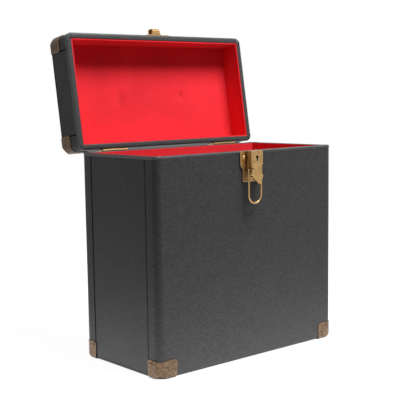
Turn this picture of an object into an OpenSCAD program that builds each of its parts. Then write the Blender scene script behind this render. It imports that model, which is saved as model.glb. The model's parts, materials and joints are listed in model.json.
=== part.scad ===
// Carrying case for twelve-inch records, with its lid open on its stop hinges.
// The pieces are drawn about the middle of the body's footprint, z = 0 being the floor.

/* [Case] */
// Width of the case over its ends
case_w = 345; // [335:1:400]
// Depth of the case from front to back
case_d = 172; // [150:1:260]
// Height of the body's rim above the floor
body_h = 301; // [220:1:330]
// Height of the lid from its rim to its top
lid_h = 46; // [44:1:90]
// Gap between the two rims when the lid is shut
rim_gap = 0.8; // [0.6:0.1:1.5]
// Angle through which the lid opens before its hinges stop it
open_angle = 99; // [95:1:110]
// Thickness of the boards
board_t = 7; // [6:0.5:9]
// Radius of the four upright corners
corner_r = 10; // [8:0.5:18]
// Radius of the long bottom and top edges
edge_r = 4; // [3:0.5:11]
// Radius of the short bottom and top edges
end_edge_r = 3; // [2:0.5:6]
// Radius of the eight bottom and top corners, under their caps
ball_r = 10; // [6:0.5:14]

/* [Covering] */
// Thickness of the leatherette wrapped round the front and the back
wrap_t = 1; // [0.8:0.1:1.5]
// Thickness of the leatherette let into the two ends
end_cover_t = 0.5; // [0.3:0.1:0.8]
// Thickness of the strip bound over each rim
rim_t = 1; // [0.6:0.1:1.5]
// Depth of the bound strip down the outside of the rim
rim_lip = 4; // [3:0.5:6]
// Distance of the seam from the front and the back
seam_in = 22.5; // [20:0.5:24]
// Width of the groove that the seam leaves
groove_w = 2; // [1:0.5:3]
// Thickness of the felt-covered lining panels
lining_t = 2; // [1.5:0.5:3]

/* [Corner caps] */
// Thickness of the stamped corner caps
cap_t = 1; // [0.8:0.1:1.5]
// Reach of a cap along the case's width
cap_leg_x = 30; // [28:1:36]
// Reach of a cap along the case's depth
cap_leg_y = 24.5; // [24:0.5:30]
// Reach of a cap along the case's height
cap_leg_z = 25; // [24:1:32]
// Radius of a cap's three outer corners
cap_lobe_r = 5; // [3:0.5:7]
// Depth of the hollow in a cap's edge between two of its corners
cap_dip = 1; // [0.5:0.5:3]
// Distance of each nail from the two free edges of its face of the cap
nail_in = 5.5; // [5:0.5:7.5]
// Radius of a nail's head
nail_head_r = 2.3; // [1.8:0.1:2.6]
// Length of a nail below its head
nail_l = 7; // [5:0.5:7.5]

/* [Hinges] */
// Distance of each hinge's middle from the nearer end of the case
hinge_in = 62.5; // [45:0.5:80]
// Width of a hinge
hinge_w = 45; // [36:1:60]
// Height of a hinge leaf
leaf_h = 20; // [16:1:24]
// Thickness of a hinge leaf
leaf_t = 1.2; // [1:0.1:1.5]
// Radius of a hinge pin
hinge_pin_r = 1; // [0.8:0.1:1.2]
// Outer radius of the hinge knuckles
knuckle_r = 2.2; // [2:0.1:2.6]
// Reach of the stop fins from the hinge pin
fin_l = 9; // [7:0.5:12]

/* [Latch] */
// Height of the latch plate
plate_h = 43.5; // [41:0.5:46]
// Width of the latch plate at its shoulders
plate_w = 44; // [42:1:50]
// Width of the latch plate below its shoulders
plate_neck_w = 35; // [31:1:36]
// Thickness of the latch plate and the catch plate
plate_t = 1.2; // [1:0.1:1.5]
// Width of the lever
lever_w = 20.8; // [20:0.2:21.4]
// Distance of the lever's face from the front of the case
lever_out = 13; // [12:0.2:14]
// Thickness of the lever's sheet
lever_t = 1.2; // [1:0.1:1.4]
// Outer radius of the lever's two long folds
fold_r = 2.6; // [1.6:0.2:3]
// Length of the lever from its top to the thumb tab
lever_l = 33.8; // [33:0.2:38]
// Length of the lever's thumb tab
tab_l = 13.2; // [10:0.2:18]
// Angle at which the thumb tab stands out
tab_angle = 21; // [10:1:25]
// Radius of the bail's wire
wire_r = 1.4; // [1.1:0.1:1.4]
// Length of the bail from its pivot to the far side of its bow
bail_l = 49.2; // [45:0.1:55]
// Width of the catch plate on the lid
catch_w = 44; // [40:1:50]
// Width of the hook on the catch plate
hook_w = 14; // [12:0.5:16]
// Height of the hook over the front of the lid
hook_out = 12.5; // [11:0.5:13]
// Radius of the rivets' heads
rivet_head_r = 2.9; // [2.5:0.1:3]

/* [Handle] */
// Distance between the handle's two brackets
handle_span = 120; // [100:1:150]
// Distance of the grip's middle from the handle's pivots
handle_rise = 26; // [24:1:36]
// Radius of the grip
grip_r = 7; // [6:0.5:8]
// Height of the handle's pivots over the lid
handle_up = 11; // [10.5:0.5:14]

/* [Hidden] */
$fn = 48;

// Clearances: rivets and nails in their holes, shafts in running fits, and pieces that pass
fixed_gap = 0.05;
run_gap = 0.06;
side_gap = 0.3;
eps = 0.01;

// Heights of the two trays: the body stands on its caps, the lid's top is its closed end
body_tray_h = body_h - cap_t;
lid_rim_z = body_h + rim_gap;
lid_top_z = lid_rim_z + lid_h;
wall_all = board_t + wrap_t;
inner_x = case_w / 2 - wall_all;
inner_y = case_d / 2 - wall_all;

// The corners' rounding starts this far outside them, so that no surfaces only touch
ball_out = 0.5;

// Nails stand this far in from the faces that they don't go through
nail_r = 0.9;
nail_head_h = 1.2;
nail_x = case_w / 2 - cap_leg_x + nail_in;
nail_y = case_d / 2 - cap_leg_y + nail_in;
nail_z = cap_leg_z - nail_in;
foot_sink = 0.6;
dip_r = 60;

// Hinge: the pin lies just behind the back face, level with the gap between the rims
hinge_x = case_w / 2 - hinge_in;
pin_y = case_d / 2 + knuckle_r + 0.2;
pin_z = body_h + rim_gap / 2;
knuckle_l = hinge_w / 3;
leaf_r = 3;
fin_t = 1.5;
fin_gap = 0.1;
fin_angle = (180 - open_angle) / 2;
leaf_rivet_x = hinge_w / 3;
leaf_rivet_z = knuckle_r + (leaf_h - knuckle_r) / 2;

// Latch: heights are measured up from the floor, and distances out from the case's front
plate_top = body_h - 0.3;
plate_bottom = plate_top - plate_h;
shoulder_z = plate_bottom + plate_h * 0.55;
neck_z = plate_bottom + plate_h * 0.42;
plate_r = 3;
bead_w = 2;
bead_h = 0.8;
flange_x = lever_w / 2 - lever_t;
ear_t = 1.2;
ear_x = flange_x - side_gap - ear_t;
lever_top = plate_top + 0.3;
pivot_out = 7;
pivot_down = 4.6;
pivot_z = lever_top - pivot_down;
pivot_r = 1.5;
pivot_head_r = 2.6;
pivot_head_h = 0.9;
step_down = 18.8;
step_z = lever_top - step_down;
step_out = 0.8;
bend_z = lever_top - lever_l;
notch_down = 24.5;
notch_z = lever_top - notch_down;
notch_h = 4;
notch_w = 2.4;
bail_out = 8;
bail_down = 26.5;
bail_z = lever_top - bail_down;
bail_x = lever_w / 2 + side_gap + wire_r;
bail_slot = 3.2;
bail_gap = 0.1;
bail_leg = bail_l - bail_x - wire_r;
key_down = 9.9;
key_z = lever_top - key_down;
key_r = 2.6;
key_slot = 4.6;
plug_r = 3.2;
barrel_t = 1.1;
barrel_l = 4.5;
cam_out = 5;
cam_t = 1.2;
cam_w = 2.4;
cam_l = flange_x - 0.4;
cam_gap = 0.5;
ear_below = 3;
lever_back = plate_t + 0.6;
tab_tip_r = 3.4;
latch_rivet_x = lever_w / 2 + side_gap + rivet_head_r + 0.5;
latch_rivet_down = 8.8;
latch_rivet_z = plate_top - latch_rivet_down;
latch_low_rivet_z = plate_bottom + 6;

// Catch: its hook's bow stops just short of the inside of the raised bail
catch_z = lid_rim_z + 1.5;
catch_h = 20;
hook_in = 4.5;
hook_z = catch_z + hook_in;
hook_end = bail_z + bail_l - 2 * wire_r - 1.2;
hook_t = 1.2;
hook_lip = 4.8;
hook_flare = 1.8;
hook_root_r = 4.5;
hook_tip_r = 3;
catch_rivet_x = catch_w / 2 - rivet_head_r - 2;

// Rivets go through the boards and end under the lining
rivet_head_h = 1.6;
rivet_r = 1.5;

// Handle: it hangs straight down when the lid is open
handle_pin_r = 2;
handle_bend_r = 18;
eye_r = grip_r - 0.6;
ear_r = 4.6;
bracket_ear_t = 1.6;
bracket_w = 2 * (grip_r + side_gap + bracket_ear_t) + 3;
bracket_d = 28;
bracket_t = 1.2;
bracket_rivet_y = bracket_d / 2 - rivet_head_r - 1.5;
hang_angle = open_angle - 90;

// The origin lies under the middle of the open case
function turned_y(y, z) =
    pin_y + (y - pin_y) * cos(open_angle) + (z - pin_z) * sin(open_angle);
back_reach = turned_y(0, lid_top_z + handle_up) + grip_r;
front_reach = case_d / 2 + lever_out + step_out + tab_l * sin(tab_angle);
middle_y = (back_reach - front_reach) / 2;

leatherette = [0.13, 0.13, 0.135];
rim_grey = [0.3, 0.3, 0.31];
felt_red = [0.86, 0.1, 0.13];
wood = [0.74, 0.6, 0.42];
brass = [0.74, 0.58, 0.33];
old_brass = [0.46, 0.37, 0.28];
steel = [0.6, 0.6, 0.62];

// Places: the body's tray stands on its caps, and the lid's tray is upside down and opened
module in_body() {
    translate([0, 0, cap_t]) children();
}

module in_lid() {
    translate([0, 0, lid_top_z]) mirror([0, 0, 1]) children();
}

module opened() {
    translate([0, pin_y, pin_z]) rotate([-open_angle, 0, 0])
        translate([0, -pin_y, -pin_z]) children();
}

module at_origin() {
    translate([0, -middle_y, 0]) children();
}

// Draws on the front face: x across, y up from the floor and z out of the front
module on_front() {
    translate([0, -case_d / 2, 0]) rotate([90, 0, 0]) children();
}

// Extrudes an outline of [distance out, height] by t from x0 towards +X
module along_x(x0, t) {
    translate([x0, -case_d / 2, 0]) rotate([90, 0, 90]) linear_extrude(t)
        mirror([1, 0]) children();
}

module both_x() {
    children();
    mirror([1, 0, 0]) children();
}

module both_y() {
    children();
    mirror([0, 1, 0]) children();
}

// Outlines
module round_rect(w, d, r) {
    square([w - 2 * r, d], center = true);
    square([w, d - 2 * r], center = true);
    for (x = [-1, 1], y = [-1, 1])
        translate([x * (w / 2 - r), y * (d / 2 - r)]) circle(r);
}

// A wall's outline seen end on, with its two lower corners rounded
module cup_outline(w, h, r) {
    translate([-w / 2, r]) square([w, h - r]);
    translate([-w / 2 + r, 0]) square([w - 2 * r, h]);
    for (x = [-1, 1]) translate([x * (w / 2 - r), r]) circle(r);
}

// Tray: the outer form of the body, standing on z = 0 with its rim at h, grown by g
module tray_form(h, g) {
    w = case_w + 2 * g;
    d = case_d + 2 * g;
    across = ((case_w + case_d) / 2 - 2 * corner_r) / sqrt(2) + corner_r + g;
    intersection() {
        translate([0, 0, -g]) linear_extrude(h + g) round_rect(w, d, corner_r + g);
        translate([-w / 2, 0, -g]) rotate([90, 0, 90]) linear_extrude(w)
            cup_outline(d, h + g, edge_r + g);
        translate([0, d / 2, -g]) rotate([90, 0, 0]) linear_extrude(d)
            cup_outline(w, h + g, end_edge_r + g);
        for (turn = [-45, 45]) rotate([0, 0, turn]) translate([0, w, -g])
            rotate([90, 0, 0]) linear_extrude(2 * w)
            cup_outline(2 * (across + ball_out), h + g, ball_r + g);
    }
}

module board_form(h) {
    tray_form(h - rim_t, -wrap_t);
}

module front_board(h) {
    intersection() {
        board_form(h);
        translate([-case_w / 2, -case_d / 2, 0]) cube([case_w, wall_all, h]);
    }
}

module left_board(h) {
    intersection() {
        board_form(h);
        translate([-case_w / 2, -inner_y, 0]) cube([wall_all, 2 * inner_y, h]);
    }
}

module floor_board(h) {
    intersection() {
        board_form(h);
        translate([-inner_x, -inner_y, wrap_t])
            cube([2 * inner_x, 2 * inner_y, board_t]);
    }
}

module skin(h) {
    difference() {
        tray_form(h - rim_lip, 0);
        tray_form(h, -wrap_t);
    }
}

module front_wrap(h) {
    intersection() {
        skin(h);
        translate([-case_w / 2, -case_d / 2, 0]) cube([case_w, seam_in, h]);
    }
}

module left_cover(h) {
    edge = end_edge_r - wrap_t;
    y = case_d / 2 - seam_in - groove_w;
    translate([-case_w / 2 + wrap_t - end_cover_t, -y, wrap_t + edge])
        cube([end_cover_t, 2 * y, h - rim_lip - wrap_t - edge]);
}

module floor_cover(h) {
    y = case_d / 2 - seam_in;
    intersection() {
        skin(h);
        translate([-case_w / 2, -y, 0]) cube([case_w, 2 * y, end_edge_r]);
    }
}

module rim_binding(h) {
    translate([0, 0, h - rim_t]) linear_extrude(rim_t) difference() {
        round_rect(case_w, case_d, corner_r);
        square([2 * inner_x, 2 * inner_y], center = true);
    }
    translate([0, 0, h - rim_lip]) linear_extrude(rim_lip) difference() {
        round_rect(case_w, case_d, corner_r);
        round_rect(case_w - 2 * wrap_t, case_d - 2 * wrap_t, corner_r - wrap_t);
    }
}

module front_lining(h) {
    floor_z = wall_all + lining_t;
    translate([-inner_x, -inner_y, floor_z])
        cube([2 * inner_x, lining_t, h - rim_t - floor_z]);
}

module left_lining(h) {
    floor_z = wall_all + lining_t;
    y = inner_y - lining_t;
    translate([-inner_x, -y, floor_z]) cube([lining_t, 2 * y, h - rim_t - floor_z]);
}

module floor_lining() {
    translate([-inner_x, -inner_y, wall_all])
        cube([2 * inner_x, 2 * inner_y, lining_t]);
}

// Rivet with a domed head on z = 0 and its shank below; g widens only the shank
module rivet(head_r, head_h, shank_r, shank_l, g) {
    ball_r = (head_r * head_r + head_h * head_h) / (2 * head_h);
    if (g == 0) intersection() {
        translate([0, 0, head_h - ball_r]) sphere(ball_r);
        cylinder(h = head_h, r = head_r);
    }
    translate([0, 0, -shank_l]) cylinder(h = shank_l + eps, r = shank_r + g, $fn = 24);
}

module nail(g) {
    rivet(nail_head_r, nail_head_h, nail_r, nail_l + cap_t, g);
}

// Nail with a flat head let into the cap, so that the case stands on its caps
module foot_nail(g) {
    translate([0, 0, -foot_sink]) cylinder(h = foot_sink + g, r = nail_head_r + g);
    translate([0, 0, -nail_l - cap_t])
        cylinder(h = nail_l + cap_t - foot_sink + eps, r = nail_r + g, $fn = 24);
}

// The three nails of the front left cap, in the tray's own place
module cap_nails_at_corner(g, foot) {
    translate([-nail_x, -case_d / 2 - cap_t, nail_z]) rotate([90, 0, 0]) nail(g);
    translate([-case_w / 2 - cap_t, -nail_y, nail_z]) rotate([0, -90, 0]) nail(g);
    translate([-nail_x, -nail_y, -cap_t]) rotate([180, 0, 0]) {
        if (foot) foot_nail(g);
        else nail(g);
    }
}

module tray_nails(g, foot) {
    both_x() both_y() cap_nails_at_corner(g, foot);
}

// Corner cap: a thin shell over the corner, its three faces trimmed to rounded squares
module corner_cap(foot) {
    x = cap_leg_x + cap_t;
    y = cap_leg_y + cap_t;
    z = cap_leg_z + cap_t;
    r = cap_lobe_r;
    difference() {
        intersection() {
            tray_form(4 * z, cap_t);
            translate([-case_w / 2 - cap_t, -case_d / 2 - cap_t, -cap_t])
                linear_extrude(z) lobe(x, y, r);
            translate([-case_w / 2 - cap_t, -case_d / 2 - cap_t + y, -cap_t])
                rotate([90, 0, 0]) linear_extrude(y) lobe(x, z, r);
            translate([-case_w / 2 - cap_t, -case_d / 2 - cap_t, -cap_t])
                rotate([90, 0, 90]) linear_extrude(x) lobe(y, z, r);
        }
        tray_form(4 * z, 0);
        translate([-case_w / 2, -case_d / 2, cap_leg_z + dip_r - cap_dip])
            rotate([0, 90, 45]) cylinder(h = 4 * z, r = dip_r, center = true, $fn = 96);
        translate([-case_w / 2 + cap_leg_x + dip_r - cap_dip, -case_d / 2, 0])
            rotate([-45, 0, 0]) cylinder(h = 4 * z, r = dip_r, center = true, $fn = 96);
        translate([-case_w / 2, -case_d / 2 + cap_leg_y + dip_r - cap_dip, 0])
            rotate([0, 45, 0]) cylinder(h = 4 * z, r = dip_r, center = true, $fn = 96);
        cap_nails_at_corner(fixed_gap, foot);
    }
}

// A rectangle from the corner at the origin, with the corner away from it rounded
module lobe(a, b, r) {
    square([a - r, b]);
    square([a, b - r]);
    translate([a - r, b - r]) circle(r);
}

// Body
module body_front_board() {
    color(wood) difference() {
        in_body() front_board(body_tray_h);
        in_body() tray_nails(fixed_gap, false);
        latch_rivets(fixed_gap);
    }
}

module body_back_board() {
    color(wood) difference() {
        in_body() mirror([0, 1, 0]) front_board(body_tray_h);
        in_body() tray_nails(fixed_gap, false);
        body_leaf_rivets(fixed_gap);
    }
}

module body_left_board() {
    color(wood) in_body() difference() {
        left_board(body_tray_h);
        tray_nails(fixed_gap, false);
    }
}

module body_right_board() {
    mirror([1, 0, 0]) body_left_board();
}

module body_bottom_board() {
    color(wood) in_body() difference() {
        floor_board(body_tray_h);
        tray_nails(fixed_gap, false);
    }
}

module body_front_wrap() {
    color(leatherette) difference() {
        in_body() front_wrap(body_tray_h);
        in_body() tray_nails(fixed_gap, false);
        latch_rivets(fixed_gap);
    }
}

module body_back_wrap() {
    color(leatherette) difference() {
        in_body() mirror([0, 1, 0]) front_wrap(body_tray_h);
        in_body() tray_nails(fixed_gap, false);
        body_leaf_rivets(fixed_gap);
    }
}

module body_left_cover() {
    color(leatherette) in_body() left_cover(body_tray_h);
}

module body_right_cover() {
    mirror([1, 0, 0]) body_left_cover();
}

module body_bottom_cover() {
    color(leatherette) in_body() floor_cover(body_tray_h);
}

module body_rim_binding() {
    color(rim_grey) in_body() rim_binding(body_tray_h);
}

module body_front_lining() {
    color(felt_red) in_body() front_lining(body_tray_h);
}

module body_back_lining() {
    mirror([0, 1, 0]) body_front_lining();
}

module body_left_lining() {
    color(felt_red) in_body() left_lining(body_tray_h);
}

module body_right_lining() {
    mirror([1, 0, 0]) body_left_lining();
}

module body_bottom_lining() {
    color(felt_red) in_body() floor_lining();
}

// Lid
module lid_front_board() {
    color(wood) opened() difference() {
        in_lid() front_board(lid_h);
        in_lid() tray_nails(fixed_gap, false);
        catch_rivets(fixed_gap);
    }
}

module lid_back_board() {
    color(wood) opened() difference() {
        in_lid() mirror([0, 1, 0]) front_board(lid_h);
        in_lid() tray_nails(fixed_gap, false);
        lid_leaf_rivets(fixed_gap);
    }
}

module lid_left_board() {
    color(wood) opened() in_lid() difference() {
        left_board(lid_h);
        tray_nails(fixed_gap, false);
    }
}

module lid_right_board() {
    mirror([1, 0, 0]) lid_left_board();
}

module lid_top_board() {
    color(wood) opened() difference() {
        in_lid() floor_board(lid_h);
        in_lid() tray_nails(fixed_gap, false);
        handle_rivets(fixed_gap);
    }
}

module lid_front_wrap() {
    color(leatherette) opened() difference() {
        in_lid() front_wrap(lid_h);
        in_lid() tray_nails(fixed_gap, false);
        catch_rivets(fixed_gap);
    }
}

module lid_back_wrap() {
    color(leatherette) opened() difference() {
        in_lid() mirror([0, 1, 0]) front_wrap(lid_h);
        in_lid() tray_nails(fixed_gap, false);
        lid_leaf_rivets(fixed_gap);
    }
}

module lid_left_cover() {
    color(leatherette) opened() in_lid() left_cover(lid_h);
}

module lid_right_cover() {
    mirror([1, 0, 0]) lid_left_cover();
}

module lid_top_cover() {
    color(leatherette) opened() difference() {
        in_lid() floor_cover(lid_h);
        handle_rivets(fixed_gap);
    }
}

module lid_rim_binding() {
    color(rim_grey) opened() in_lid() rim_binding(lid_h);
}

module lid_front_lining() {
    color(felt_red) opened() in_lid() front_lining(lid_h);
}

module lid_back_lining() {
    color(felt_red) opened() in_lid() mirror([0, 1, 0]) front_lining(lid_h);
}

module lid_left_lining() {
    color(felt_red) opened() in_lid() left_lining(lid_h);
}

module lid_right_lining() {
    mirror([1, 0, 0]) lid_left_lining();
}

module lid_top_lining() {
    color(felt_red) opened() in_lid() floor_lining();
}

// Corner caps and their nails
module body_cap_front_left() {
    color(old_brass) in_body() corner_cap(true);
}

module body_cap_front_right() {
    mirror([1, 0, 0]) body_cap_front_left();
}

module body_cap_back_left() {
    mirror([0, 1, 0]) body_cap_front_left();
}

module body_cap_back_right() {
    mirror([1, 0, 0]) body_cap_back_left();
}

module lid_cap_front_left() {
    color(old_brass) opened() in_lid() corner_cap(false);
}

module lid_cap_front_right() {
    mirror([1, 0, 0]) lid_cap_front_left();
}

module lid_cap_back_left() {
    color(old_brass) opened() in_lid() mirror([0, 1, 0]) corner_cap(false);
}

module lid_cap_back_right() {
    mirror([1, 0, 0]) lid_cap_back_left();
}

module body_cap_nails() {
    color(old_brass) in_body() tray_nails(0, true);
}

module lid_cap_nails() {
    color(old_brass) opened() in_lid() tray_nails(0, false);
}

// Hinges: each is drawn at x = 0 with the lid shut, the body's leaf hanging down
module leaf_outline() {
    w = hinge_w;
    translate([-w / 2 + leaf_r, -leaf_h]) square([w - 2 * leaf_r, leaf_h - knuckle_r - side_gap]);
    translate([-w / 2, -leaf_h + leaf_r])
        square([w, leaf_h - leaf_r - knuckle_r - side_gap]);
    for (x = [-1, 1]) translate([x * (w / 2 - leaf_r), leaf_r - leaf_h]) circle(leaf_r);
}

// A knuckle from x0 over length l, with the strip that joins it to its leaf
module knuckle(x0, l) {
    translate([x0, 0, 0]) rotate([0, 90, 0]) cylinder(h = l, r = knuckle_r);
    translate([x0, case_d / 2 - pin_y, -knuckle_r - side_gap - eps])
        cube([l, leaf_t, knuckle_r + side_gap]);
}

module fin(x0, l, root) {
    rotate([fin_angle - 90, 0, 0])
        translate([x0, root, fin_gap - fin_t - 2 * fin_gap]) cube([l, fin_l - root, fin_t]);
}

module pin_bore() {
    rotate([0, 90, 0]) cylinder(h = hinge_w + 2, r = hinge_pin_r + run_gap, center = true);
}

// Bores for the two rivets of a leaf that hangs down
module leaf_rivets(g) {
    both_x() translate([leaf_rivet_x, case_d / 2 - pin_y + leaf_t, -leaf_rivet_z])
        rotate([-90, 0, 0]) rivet(rivet_head_r, rivet_head_h, rivet_r, leaf_t + wall_all, g);
}

module body_leaf() {
    gap = side_gap / 2;
    difference() {
        union() {
            translate([0, case_d / 2 - pin_y + leaf_t, 0]) rotate([90, 0, 0])
                linear_extrude(leaf_t) leaf_outline();
            both_x() {
                knuckle(knuckle_l / 2 + gap, knuckle_l - gap);
                fin(knuckle_l / 2 + gap, knuckle_l - gap, 0);
            }
        }
        pin_bore();
        leaf_rivets(fixed_gap);
    }
}

module lid_leaf() {
    gap = side_gap / 2;
    clear_r = knuckle_r + side_gap;
    mirror([0, 0, 1]) difference() {
        union() {
            translate([0, case_d / 2 - pin_y + leaf_t, 0]) rotate([90, 0, 0])
                linear_extrude(leaf_t) leaf_outline();
            knuckle(-knuckle_l / 2 + gap, knuckle_l - 2 * gap);
            fin(-knuckle_l / 2 + gap, knuckle_l - 2 * gap, 0);
            fin(-hinge_w / 2, hinge_w, clear_r);
        }
        pin_bore();
        leaf_rivets(fixed_gap);
    }
}

module at_hinge(side) {
    translate([side * hinge_x, pin_y, pin_z]) children();
}

module body_leaf_rivets(g) {
    for (side = [-1, 1]) at_hinge(side) leaf_rivets(g);
}

module lid_leaf_rivets(g) {
    for (side = [-1, 1]) at_hinge(side) mirror([0, 0, 1]) leaf_rivets(g);
}

module hinge_body_leaf_left() {
    color(brass) at_hinge(-1) body_leaf();
}

module hinge_body_leaf_right() {
    color(brass) at_hinge(1) body_leaf();
}

module hinge_lid_leaf_left() {
    color(brass) opened() at_hinge(-1) lid_leaf();
}

module hinge_lid_leaf_right() {
    color(brass) opened() at_hinge(1) lid_leaf();
}

module hinge_pins() {
    color(steel) for (side = [-1, 1]) at_hinge(side) rotate([0, 90, 0])
        cylinder(h = hinge_w - 1, r = hinge_pin_r, center = true);
}

// Latch plate's outline, drawn in by k at its sides and foot, with its top edge at top
module plate_outline(k, top) {
    w = plate_w / 2 - k;
    n = plate_neck_w / 2 - k;
    r = plate_r - k;
    foot = plate_bottom + k;
    translate([-w, shoulder_z]) square([2 * w, top - r - shoulder_z]);
    translate([-w + r, shoulder_z]) square([2 * (w - r), top - shoulder_z]);
    polygon([[-n, neck_z], [n, neck_z], [w, shoulder_z], [-w, shoulder_z]]);
    translate([-n, foot + r]) square([2 * n, neck_z - foot - r]);
    translate([-n + r, foot]) square([2 * (n - r), neck_z - foot]);
    for (x = [-1, 1]) {
        translate([x * (n - r), foot + r]) circle(r);
        translate([x * (w - r), top - r]) circle(r);
    }
}

module bead_outline() {
    difference() {
        plate_outline(0, plate_top);
        plate_outline(bead_w, plate_top + plate_r);
    }
}

// Outline of an ear seen from the side, as [distance out, height]; the notch lets the cam in
module ear_outline() {
    low = key_z - ear_below;
    difference() {
        union() {
            translate([0, low]) square([pivot_out, lever_top - 1 - low]);
            translate([0, low]) square([pivot_out + 2, pivot_z - low]);
            translate([pivot_out, pivot_z]) circle(3);
        }
        translate([cam_out - cam_gap, low - 1])
            square([cam_t + 2 * cam_gap, cam_w / 2 + cam_gap + ear_below + 1]);
    }
}

// Pivots of the lever, with their heads inside the ears and their ends flush outside
module latch_pivot_shafts(g) {
    both_x() translate([ear_x, -case_d / 2 - pivot_out, pivot_z]) rotate([0, -90, 0])
        rivet(pivot_head_r, pivot_head_h, pivot_r, lever_w / 2 - ear_x, g);
}

module latch_plate() {
    color(brass) difference() {
        union() {
            on_front() linear_extrude(plate_t) plate_outline(0, plate_top);
            on_front() translate([0, 0, plate_t - eps]) linear_extrude(bead_h + eps)
                bead_outline();
            both_x() along_x(ear_x, ear_t) ear_outline();
        }
        latch_pivot_shafts(fixed_gap);
        latch_rivets(fixed_gap);
    }
}

module latch_pivots() {
    color(brass) latch_pivot_shafts(0);
}

// Rivets of the latch plate: two at the shoulders and one behind the lever
module latch_rivets(g) {
    on_front() translate([0, 0, plate_t]) {
        both_x() translate([latch_rivet_x, latch_rivet_z, 0])
            rivet(rivet_head_r, rivet_head_h, rivet_r, plate_t + wall_all, g);
        translate([0, latch_low_rivet_z, 0])
            rivet(rivet_head_r, rivet_head_h, rivet_r, plate_t + wall_all, g);
    }
}

module body_rivets() {
    color(brass) {
        latch_rivets(0);
        body_leaf_rivets(0);
    }
}

// Lever: a folded sheet whose flanges take the pivots and the bail
module flange_outline() {
    back = lever_back;
    low = lever_out + step_out;
    polygon([[back, pivot_z], [pivot_out, pivot_z], [pivot_out, lever_top],
        [lever_out, lever_top], [lever_out, step_z + 1], [low, step_z], [low, bend_z],
        [low - 2.4, bend_z], [low - 2.4, bail_z - 3], [bail_out, bail_z - 4],
        [bail_out - 3.6, bail_z - 1], [back + 1, notch_z + 2], [back, notch_z + 6]]);
    translate([bail_out, bail_z]) circle(4);
    intersection() {
        translate([pivot_out, pivot_z]) circle(pivot_out - back);
        square([pivot_out + eps, lever_top]);
    }
}

// The lever's folded section as [across, distance out], out to a face, drawn in by k
module fold_outline(face, k) {
    w = lever_w / 2 - k;
    r = fold_r - k;
    translate([-w, 0]) square([2 * w, face - k - r]);
    translate([-w + r, 0]) square([2 * (w - r), face - k]);
    for (x = [-1, 1]) translate([x * (w - r), face - k - r]) circle(r);
}

module folded_sheet(z0, z1, face) {
    translate([0, -case_d / 2, z0]) mirror([0, 1, 0]) linear_extrude(z1 - z0) difference() {
        fold_outline(face, 0);
        translate([0, -eps]) fold_outline(face, lever_t);
    }
}

module keyhole() {
    translate([0, key_z + 1]) circle(key_r);
    polygon([[-0.8, key_z + 1], [-1.4, key_z - key_slot], [1.4, key_z - key_slot],
        [0.8, key_z + 1]]);
}

// The thumb tab's outline hangs down from y = 0, with straight sides that meet its round tip
module tab_outline() {
    w = lever_w / 2;
    side = [w - 0.2, -1.6];
    tip = [0, tab_tip_r - tab_l];
    away = norm(side - tip);
    turn = atan2(side.y - tip.y, side.x - tip.x) - acos(tab_tip_r / away);
    meet = [tab_tip_r * cos(turn), tip.y + tab_tip_r * sin(turn)];
    root = w - fold_r;
    polygon([[-root, 1], [root, 1], [w, -0.4], side, meet, [-meet.x, meet.y],
        [-side.x, side.y], [-w, -0.4]]);
    translate(tip) circle(tab_tip_r);
}

module bail_slots() {
    x = lever_w / 2 + 1;
    r = wire_r + bail_gap;
    translate([-x, -case_d / 2 - bail_out, 0]) {
        translate([0, 0, bail_z]) rotate([0, 90, 0]) cylinder(h = 2 * x, r = r);
        translate([0, 0, bail_z + bail_slot]) rotate([0, 90, 0]) cylinder(h = 2 * x, r = r);
        translate([0, -r, bail_z]) cube([2 * x, 2 * r, bail_slot]);
    }
}

module lock_barrel() {
    on_front() translate([0, key_z, lever_out - lever_t - barrel_l]) difference() {
        cylinder(h = barrel_l + eps, r = plug_r + run_gap + barrel_t);
        translate([0, 0, -1]) cylinder(h = barrel_l + 2, r = plug_r + run_gap);
    }
}

module latch_lever() {
    low = lever_out + step_out;
    color(brass) difference() {
        union() {
            intersection() {
                along_x(-lever_w / 2, lever_w) flange_outline();
                union() {
                    folded_sheet(step_z, lever_top, lever_out);
                    folded_sheet(bend_z, step_z + 0.6, low);
                }
            }
            on_front() translate([0, bend_z, low]) rotate([-tab_angle, 0, 0])
                translate([0, 0, -lever_t]) linear_extrude(lever_t) tab_outline();
            lock_barrel();
        }
        on_front() translate([0, 0, lever_out - 2 * lever_t])
            linear_extrude(4 * lever_t) keyhole();
        both_x() on_front() translate([lever_w / 2 - notch_w, notch_z, low - lever_t - 0.4])
            rotate([0, 0, -45]) cube([notch_h, notch_h, lever_t + 1]);
        latch_pivot_shafts(run_gap);
        bail_slots();
    }
}

// Plug of the key lock with the cam behind it; the cam hangs down when it is unlocked
module lock_plug() {
    front = lever_out - lever_t - 0.2;
    color(steel) on_front() translate([0, key_z, 0]) difference() {
        union() {
            translate([0, 0, cam_out]) cylinder(h = front - cam_out, r = plug_r);
            translate([-cam_w / 2, -cam_l, cam_out]) cube([cam_w, cam_l, cam_t]);
        }
        translate([-0.6, -plug_r, front - 3]) cube([1.2, 2 * plug_r - 0.8, 4]);
    }
}

// Bail: a wire loop whose two ends turn in through the lever's flanges
module latch_bail() {
    inner = lever_w / 2 - lever_t - 0.8;
    nub_r = 0.9;
    color(brass) translate([0, -case_d / 2 - bail_out, bail_z]) {
        both_x() {
            translate([bail_x, 0, -bail_leg]) cylinder(h = bail_leg, r = wire_r);
            translate([bail_x, 0, 0]) sphere(wire_r);
            translate([inner, 0, 0]) rotate([0, 90, 0]) cylinder(h = bail_x - inner, r = wire_r);
        }
        translate([0, 0, -bail_leg]) rotate([90, 0, 0]) rotate([0, 0, 180])
            rotate_extrude(angle = 180, $fn = 96) translate([bail_x, 0]) circle(wire_r);
        translate([0, 0, -bail_leg - bail_x + wire_r]) sphere(nub_r);
    }
}

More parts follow.
